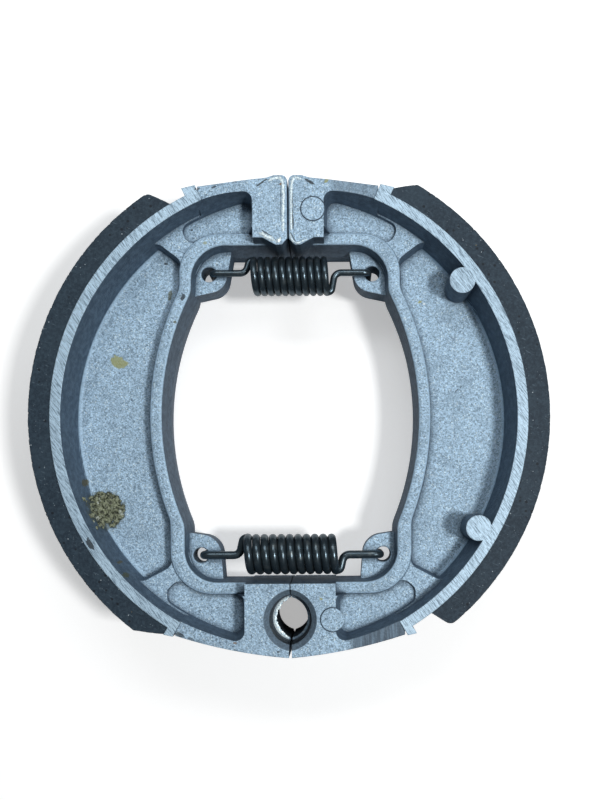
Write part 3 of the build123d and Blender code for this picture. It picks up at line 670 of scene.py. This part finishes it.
def friction_material():
    """Moulded friction lining, near black with pale mineral specks and a few fibres."""
    s = Shader("friction_lining_moulded")
    grain = s.noise(s.place, 1.5, 4.0, 0.65)
    broad = s.noise(s.place, 0.12)
    colour = s.mix(s.ramp(grain, 0.35, 0.75), LINING_COLOUR, LINING_EDGE)
    colour = s.mix(s.product(s.ramp(broad, 0.4, 0.75), 0.4), colour, LINING_EDGE)
    for scale, reach, chance, tint in LINING_SPECKS:
        cell = s.cells(scale)
        chosen = s.ramp(s.parts(cell.outputs["Color"])[0], chance, chance + 0.02)
        inside = s.ramp(cell.outputs["Distance"], reach, reach * 0.5)
        colour = s.mix(s.product(chosen, inside), colour, tint)
    fibres = s.ramp(s.streaks(*LINING_FIBRES), 0.66, 0.74)
    colour = s.mix(s.product(fibres, 0.35), colour, FIBRE)
    return s.paint(colour, 0.62, 0.0, s.bump(grain, 0.12 * MM, 0.9), 0.3)


def spring_wire():
    """Black oiled spring wire with faint rub marks."""
    s = Shader("spring_wire_black")
    smear = s.noise(s.place, 0.5, 3.0)
    fine = s.noise(s.place, 3.0)
    colour = s.mix(s.ramp(smear, 0.5, 0.8), SPRING_COLOUR, SPRING_RUB)
    colour = s.mix(s.product(s.ramp(fine, 0.66, 0.74), 0.5), colour, SPRING_BARE)
    return s.paint(colour, s.line(smear, 0.2, 0.20), 0.8, s.bump(fine, 0.03 * MM, 0.6))


def deposit_material():
    """Dried olive-green crust with paler grains."""
    s = Shader("dried_crust")
    grain = s.noise(s.place, 1.2, 3.0, 0.7)
    colour = s.mix(s.ramp(grain, 0.36, 0.62), CRUST_DARK, CRUST_LIGHT)
    colour = s.mix(s.ramp(s.noise(s.place, 0.75), 0.60, 0.68), colour, CRUST_PALE)
    return s.paint(colour, 0.45, 0.0, s.bump(grain, 0.4 * MM))


def finish_castings(material):
    for name in ("left_shoe_casting", "right_shoe_casting"):
        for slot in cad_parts[name].material_slots:
            slot.material = material


def link(name, data):
    """A new object that carries the data, in the scene."""
    made = bpy.data.objects.new(name, data)
    bpy.context.scene.collection.objects.link(made)
    return made


def new_mesh(name, vertices, faces, material, smooth_angle):
    """A mesh object in the row frame, with its shading smoothed below an angle."""
    mesh = bpy.data.meshes.new(name)
    mesh.from_pydata(vertices, [], faces)
    mesh.validate()
    mesh.materials.append(material)
    made = link(name, mesh)
    mesh.shade_smooth()
    mesh.set_sharp_from_angle(angle=radians(smooth_angle))
    return made


def uneven(x, y, z):
    """Smooth noise between about -1 and 1."""
    return noise.noise(Vector((x, y, z)))


def arc_centre(side):
    """Centre of a shoe's rim arc in plan, from where its lining's box ends."""
    low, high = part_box("right_lining" if side > 0 else "left_lining")
    reach = high.x if side > 0 else low.x
    return reach - side * LINING_RADIUS


def lining_profile(node, side):
    """A lining's outline in plan: its arc's centre, its inner radius, and its (angle, outer
    radius) pairs in order."""
    centre = arc_centre(side)
    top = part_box(node)[1].z
    points = []
    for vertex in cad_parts[node].data.vertices:
        if vertex.co.z < top - 0.01 * MM:
            continue
        across = side * (vertex.co.x - centre)
        points.append((atan2(vertex.co.y, across), hypot(across, vertex.co.y)))
    first = min(angle for angle, radius in points)
    last = max(angle for angle, radius in points)
    inner = min(radius for angle, radius in points)
    far = [point for point in points if point[1] > inner + 0.05 * MM]
    outer = sorted({(round(angle, 7), round(radius, 7)) for angle, radius in far})
    if outer[0][0] > first + 1e-5:
        outer.insert(0, (first, inner))
    if outer[-1][0] < last - 1e-5:
        outer.append((last, inner))
    return centre, inner, outer


def outer_radius(profile, angle):
    """Outer radius of the profile at an angle, straight between its points."""
    for (a1, r1), (a2, r2) in zip(profile, profile[1:]):
        if a1 <= angle <= a2 and a2 > a1:
            return r1 + (r2 - r1) * (angle - a1) / (a2 - a1)
    return profile[-1][1] if angle > profile[0][0] else profile[0][1]


def chip_size(along, seed):
    """How far the lining's sharp edge has broken away at a place along it."""
    fine = uneven(along * CHIP_WAVES, seed, 0.0)
    broad = uneven(along * CHIP_CLUSTERS, seed, 7.0)
    broken = max(0.0, fine - CHIP_START) * (0.6 + max(0.0, broad + 0.2))
    return EDGE_WEAR * (1 + 0.6 * fine) + CHIP * broken * 2.2


def lining_section(along, inner, reach, bottom, top, seed):
    """(radius, z) pairs round the lining's section at a place along it, with chipped edges."""
    room = 0.45 * (reach - inner)
    sides = []
    for edge, way in ((bottom, 1), (top, -1)):
        chip = min(chip_size(along, seed + 5 * way), room)
        run = reach - chip - inner
        side = [(inner + run * j / SIDE_ROWS, edge) for j in range(SIDE_ROWS + 1)]
        sides.append(side + [(reach, edge + way * chip * 0.9)])
    low, high = sides[0][-1][1], sides[1][-1][1]
    face = [(reach, low + (high - low) * j / FACE_ROWS) for j in range(1, FACE_ROWS)]
    section = []
    for radius, z in sides[0] + face + sides[1][::-1]:
        if radius > inner + 0.3 * MM:
            bumps = uneven(along * 1.1, radius / MM * 1.1, z / MM * 1.1 + seed)
            section.append((radius + FACE_ROUGHNESS * (bumps - 0.6), z))
        else:
            section.append((radius, z))
    return section


def build_lining(node, body, side, seed, material):
    """A lining with rubbed and chipped edges, in place of its plain solid."""
    low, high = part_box(node)
    centre, inner, profile = lining_profile(node, side)
    first, last = profile[0][0], profile[-1][0]
    steps = int((last - first) * LINING_RADIUS / ARC_STEP)
    vertices = []
    for k in range(steps + 1):
        angle = first + (last - first) * k / steps
        along = angle * LINING_RADIUS / MM
        worn = FACE_WEAR * (0.5 + 0.5 * uneven(along * 0.4, seed, 3.0))
        reach = max(inner + 0.02 * MM, outer_radius(profile, angle) - worn)
        section = lining_section(along, inner, reach, low.z, high.z, seed)
        for radius, z in section:
            vertices.append((centre + side * radius * cos(angle), radius * sin(angle), z))
    count = len(section)
    faces = []
    for k in range(steps):
        for j in range(count):
            a = k * count + j
            b = k * count + (j + 1) % count
            faces.append((a, b, b + count, a + count))
    end = steps * count
    faces.append(tuple(range(count))[::-1])
    faces.append(tuple(range(end, end + count)))
    if side < 0:
        faces = [face[::-1] for face in faces]
    name = body.replace("shoe", "friction_lining")
    made = new_mesh(name, vertices, faces, material, LINING_SHARP)
    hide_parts(node)
    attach(made, body)


def build_spring(node, name, material):
    """A return spring, copied from its CAD part with the wire's material, in place of that part."""
    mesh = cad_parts[node].data.copy()
    mesh.materials.clear()
    mesh.materials.append(material)
    made = link(name, mesh)
    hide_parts(node)
    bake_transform(made)


def surface_finder(node):
    """Finds the top surface of a solid at a place in plan."""
    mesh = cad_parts[node].data
    corners = [vertex.co for vertex in mesh.vertices]
    tree = BVHTree.FromPolygons(corners, [polygon.vertices for polygon in mesh.polygons])
    down = Vector((0, 0, -1))
    return lambda x, y: tree.ray_cast(Vector((x, y, 2 * TOP)), down)[0]


def add_grain(vertices, faces, centre, size, random):
    """Adds one lumpy grain, a squashed and dented ball, to a growing mesh."""
    first = len(vertices)
    turn = random.uniform(0, 2 * pi)
    for i in range(GRAIN_ROWS):
        latitude = pi * (i + 0.5) / GRAIN_ROWS - pi / 2
        for j in range(GRAIN_COLUMNS):
            longitude = 2 * pi * j / GRAIN_COLUMNS + turn
            reach = size * random.uniform(*GRAIN_DENTS)
            x = centre.x + reach * cos(latitude) * cos(longitude)
            y = centre.y + reach * cos(latitude) * sin(longitude)
            vertices.append((x, y, centre.z + GRAIN_FLATNESS * reach * sin(latitude)))
    for i in range(GRAIN_ROWS - 1):
        row = first + i * GRAIN_COLUMNS
        for j in range(GRAIN_COLUMNS):
            a = row + j
            b = row + (j + 1) % GRAIN_COLUMNS
            faces.append((a, b, b + GRAIN_COLUMNS, a + GRAIN_COLUMNS))
    last = first + (GRAIN_ROWS - 1) * GRAIN_COLUMNS
    faces.append(tuple(range(first, first + GRAIN_COLUMNS))[::-1])
    faces.append(tuple(range(last, last + GRAIN_COLUMNS)))


def build_deposit(material):
    """A dried crust of grains in the left shoe's main pocket."""
    random = Random(DEPOSIT_SEED)
    find = surface_finder("left_shoe_casting")
    centre = spot(*DEPOSIT_PLACE, WEB_LEVEL)
    vertices = []
    faces = []
    for k in range(DEPOSIT_GRAINS):
        reach = DEPOSIT_REACH * random.random() ** 0.5
        angle = random.uniform(0, 2 * pi)
        x = centre.x + reach * cos(angle)
        y = centre.y + DEPOSIT_TALL * reach * sin(angle)
        hit = find(x, y)
        size = random.uniform(*GRAIN_SIZES) * (1.1 - 0.4 * reach / DEPOSIT_REACH)
        if hit is None or hit.z > WEB_LEVEL + DEPOSIT_CLIMB:
            continue
        middle = Vector((x, y, hit.z + GRAIN_LIFT * size))
        add_grain(vertices, faces, middle, size, random)
    made = new_mesh("left_pocket_crust", vertices, faces, material, LUMP_SHARP)
    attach(made, "left_shoe")


def along_line(points, step):
    """Places spaced evenly along straight runs, each with the direction there."""
    places = []
    for one, two in zip(points, points[1:]):
        run = two - one
        count = max(1, round(run.length / step))
        for k in range(count):
            places.append((one + run * k / count, run.normalized()))
    places.append((points[-1], places[-1][1]))
    return places


def smoothed(places, rounds=6):
    """The same places and directions with their corners rounded off."""
    for turn in range(rounds):
        kept = [places[0]]
        for (before, _), (here, _), (after, _) in zip(places, places[1:], places[2:]):
            kept.append(((before + here * 2 + after) / 4, (after - before).normalized()))
        kept.append(places[-1])
        places = kept
    return places


def ridge_top(ridge, seed, find):
    """Points across and along the top of a ridge, which follows the pad that carries it."""
    places = smoothed(along_line([spot(px, py, END_LEVEL) for px, py in ridge.line], RIDGE_STEP))
    last = len(places) - 1
    points = []
    for k, (place, way) in enumerate(places):
        taper = min(1.0, min(k, last - k) / RIDGE_TAPER + RIDGE_END)
        across = Vector((-way.y, way.x, 0.0))
        wide = ridge.wide * MM * taper * (1 + 0.5 * uneven(k * 0.21, seed, 0.0))
        lean = 0.25 * uneven(k * 0.13, seed, 5.0)
        for j in range(-RIDGE_ROWS, RIDGE_ROWS + 1):
            share = j / RIDGE_ROWS
            at = place + across * (wide * (share + lean))
            ground = find(at.x, at.y)
            carried = ground is not None and ground.z > END_LEVEL - RIDGE_DROP
            base = ground.z if carried else END_LEVEL - RIDGE_HANG
            rough = 1 + 0.35 * uneven(at.x / MM * 2.3, at.y / MM * 2.3, seed)
            rise = ridge.high * MM * taper * (1 - share * share) * rough
            z = min(base + rise - RIDGE_SINK * share * share, TOP - RIDGE_ROOM)
            points.append((at.x, at.y, z))
    return points


def slab_faces(rows, columns):
    """Faces of a closed slab: a grid of points, and the same grid again below it."""
    below = rows * columns
    faces = []
    for k in range(rows - 1):
        for j in range(columns - 1):
            a = k * columns + j
            faces.append((a, a + columns, a + columns + 1, a + 1))
            faces.append((below + a, below + a + 1, below + a + columns + 1, below + a + columns))
        left = k * columns
        right = left + columns - 1
        faces.append((left, below + left, below + left + columns, left + columns))
        faces.append((right, right + columns, below + right + columns, below + right))
    for j in range(columns - 1):
        end = (rows - 1) * columns + j
        faces.append((j, j + 1, below + j + 1, below + j))
        faces.append((end, below + end, below + end + 1, end + 1))
    return faces


def build_ridge(ridge, material, seed):
    """A low uneven ridge of flash that lies on a casting's pad."""
    top = ridge_top(ridge, seed, surface_finder(ridge.body + "_casting"))
    bottom = [(x, y, z - RIDGE_THICK) for x, y, z in top]
    columns = 2 * RIDGE_ROWS + 1
    faces = slab_faces(len(top) // columns, columns)
    made = new_mesh(ridge.name, top + bottom, faces, material, LUMP_SHARP)
    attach(made, ridge.body)


def build_seat_flash(material):
    """Thin ragged flash along the ledge in the left shoe's half of the anchor pin's socket."""
    centre = Vector((SOCKET_OFFSET * MM, SOCKET_PLACE * MM, SEAT_LEVEL))
    first, last = SEAT_FLASH_ANGLES
    vertices = []
    for k in range(SEAT_FLASH_STEPS + 1):
        share = k / SEAT_FLASH_STEPS
        angle = radians(first + (last - first) * share)
        way = Vector((cos(angle), sin(angle), 0.0))
        ragged = 0.55 + 0.6 * uneven(share * 9, 1.0, 0.0) + 0.5 * uneven(share * 31, 4.0, 0.0)
        fade = min(1.0, SEAT_FLASH_FADE * share + 0.1, SEAT_FLASH_FADE * (1 - share) + 0.1)
        inner = SEAT_RADIUS - SEAT_FLASH * fade * max(0.05, ragged)
        for j in range(SEAT_FLASH_ROWS + 1):
            radius = SEAT_FLASH_OUTER + (inner - SEAT_FLASH_OUTER) * j / SEAT_FLASH_ROWS
            at = centre + way * radius
            relief = SEAT_FLASH_RELIEF * uneven(share * 60, j * 0.9, 2.0)
            crown = SEAT_FLASH_CROWN * (1 - (2 * j / SEAT_FLASH_ROWS - 1) ** 2)
            vertices.append((at.x, at.y, SEAT_LEVEL + crown + relief + SEAT_FLASH_LIFT))
        for radius in (inner, SEAT_FLASH_OUTER):
            at = centre + way * radius
            vertices.append((at.x, at.y, SEAT_LEVEL - SEAT_FLASH_THICK))
    count = SEAT_FLASH_ROWS + 3
    faces = []
    for k in range(SEAT_FLASH_STEPS):
        for j in range(count):
            a = k * count + j
            b = k * count + (j + 1) % count
            faces.append((a, b, b + count, a + count))
    end = SEAT_FLASH_STEPS * count
    faces.append(tuple(range(count))[::-1])
    faces.append(tuple(range(end, end + count)))
    made = new_mesh("left_seat_flash", vertices, faces, material, LUMP_SHARP)
    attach(made, "left_shoe")


def camera():
    """Looks straight down; the shift brings the photograph's nadir to its place."""
    data = bpy.data.cameras.new("camera")
    made = link("camera", data)
    long_side = max(PHOTO_SIZE)
    data.sensor_width = SENSOR
    data.lens = SENSOR * CAMERA_DISTANCE / (PHOTO_SCALE * long_side)
    data.shift_x = (PHOTO_SIZE[0] / 2 - PHOTO_NADIR[0]) / long_side
    data.shift_y = (PHOTO_NADIR[1] - PHOTO_SIZE[1] / 2) / long_side
    data.clip_start = 0.01
    data.clip_end = 10.0
    below = spot(*PHOTO_NADIR, TOP)
    made.location = (below.x, below.y, TOP + CAMERA_DISTANCE)
    made.rotation_euler = (0, 0, -PHOTO_ROLL)
    bpy.context.scene.camera = made


def lamp(name, azimuth, elevation, distance, size, power, colour):
    """A flat lamp that faces the object's middle. Azimuth 0 is towards +X."""
    data = bpy.data.lights.new(name, "AREA")
    data.shape = "RECTANGLE"
    data.size, data.size_y = size
    data.energy = power
    data.color = colour
    made = link(name, data)
    a, e = radians(azimuth), radians(elevation)
    back = Vector((cos(a) * cos(e), sin(a) * cos(e), sin(e)))
    made.location = back * distance
    made.rotation_mode = "QUATERNION"
    made.rotation_quaternion = (-back).to_track_quat("-Z", "Y")


def sky():
    """Even studio light from all round, which shows as white to the camera."""
    world = bpy.data.worlds.new("studio")
    bpy.context.scene.world = world
    world.use_nodes = True
    nodes, links = world.node_tree.nodes, world.node_tree.links
    light = nodes["Background"]
    light.inputs["Color"].default_value = (*SKY_COLOUR, 1.0)
    light.inputs["Strength"].default_value = SKY_STRENGTH
    white = nodes.new("ShaderNodeBackground")
    white.inputs["Color"].default_value = (*WHITE, 1.0)
    path = nodes.new("ShaderNodeLightPath")
    mix = nodes.new("ShaderNodeMixShader")
    links.new(path.outputs["Is Camera Ray"], mix.inputs[0])
    links.new(light.outputs[0], mix.inputs[1])
    links.new(white.outputs[0], mix.inputs[2])
    links.new(mix.outputs[0], nodes["World Output"].inputs["Surface"])


def floor():
    """Pale floor under the pair, lifted towards white where the camera sees it."""
    material = bpy.data.materials.new("pale_floor")
    material.use_nodes = True
    nodes, links = material.node_tree.nodes, material.node_tree.links
    nodes.clear()
    paint = nodes.new("ShaderNodeBsdfDiffuse")
    paint.inputs["Color"].default_value = (*FLOOR_COLOUR, 1.0)
    glow = nodes.new("ShaderNodeEmission")
    glow.inputs["Color"].default_value = (*WHITE, 1.0)
    path = nodes.new("ShaderNodeLightPath")
    lift = nodes.new("ShaderNodeMath")
    lift.operation = "MULTIPLY"
    lift.inputs[1].default_value = FLOOR_LIFT
    both = nodes.new("ShaderNodeAddShader")
    out = nodes.new("ShaderNodeOutputMaterial")
    links.new(path.outputs["Is Camera Ray"], lift.inputs[0])
    links.new(lift.outputs[0], glow.inputs["Strength"])
    links.new(paint.outputs[0], both.inputs[0])
    links.new(glow.outputs[0], both.inputs[1])
    links.new(both.outputs[0], out.inputs["Surface"])
    ways = ((-1, -1), (1, -1), (1, 1), (-1, 1))
    corners = [(FLOOR_REACH * x, FLOOR_REACH * y, FLOOR_HEIGHT) for x, y in ways]
    mesh = bpy.data.meshes.new("floor")
    mesh.from_pydata(corners, [], [(0, 1, 2, 3)])
    mesh.materials.append(material)
    made = link("floor", mesh)


def studio():
    bpy.context.scene.view_settings.view_transform = "Standard"
    sky()
    floor()
    lamp("key_lamp", KEY_AZIMUTH, KEY_ELEVATION, KEY_DISTANCE, KEY_SIZE, KEY_POWER, KEY_COLOUR)
    lamp(
        "ceiling_lamp",
        CEILING_AZIMUTH,
        CEILING_ELEVATION,
        CEILING_DISTANCE,
        CEILING_SIZE,
        CEILING_POWER,
        CEILING_COLOUR,
    )
    camera()


finish_castings(cast_aluminium())
friction = friction_material()
build_lining("left_lining", "left_shoe", -1, 1.0, friction)
build_lining("right_lining", "right_shoe", 1, 2.0, friction)
wire = spring_wire()
build_spring("cam_return_spring", "cam_spring_wire", wire)
build_spring("anchor_return_spring", "anchor_spring_wire", wire)
build_deposit(deposit_material())
burnished = burnished_aluminium()
for number, ridge in enumerate(RIDGES):
    build_ridge(ridge, burnished, 3.0 + number)
build_seat_flash(burnished)
studio()
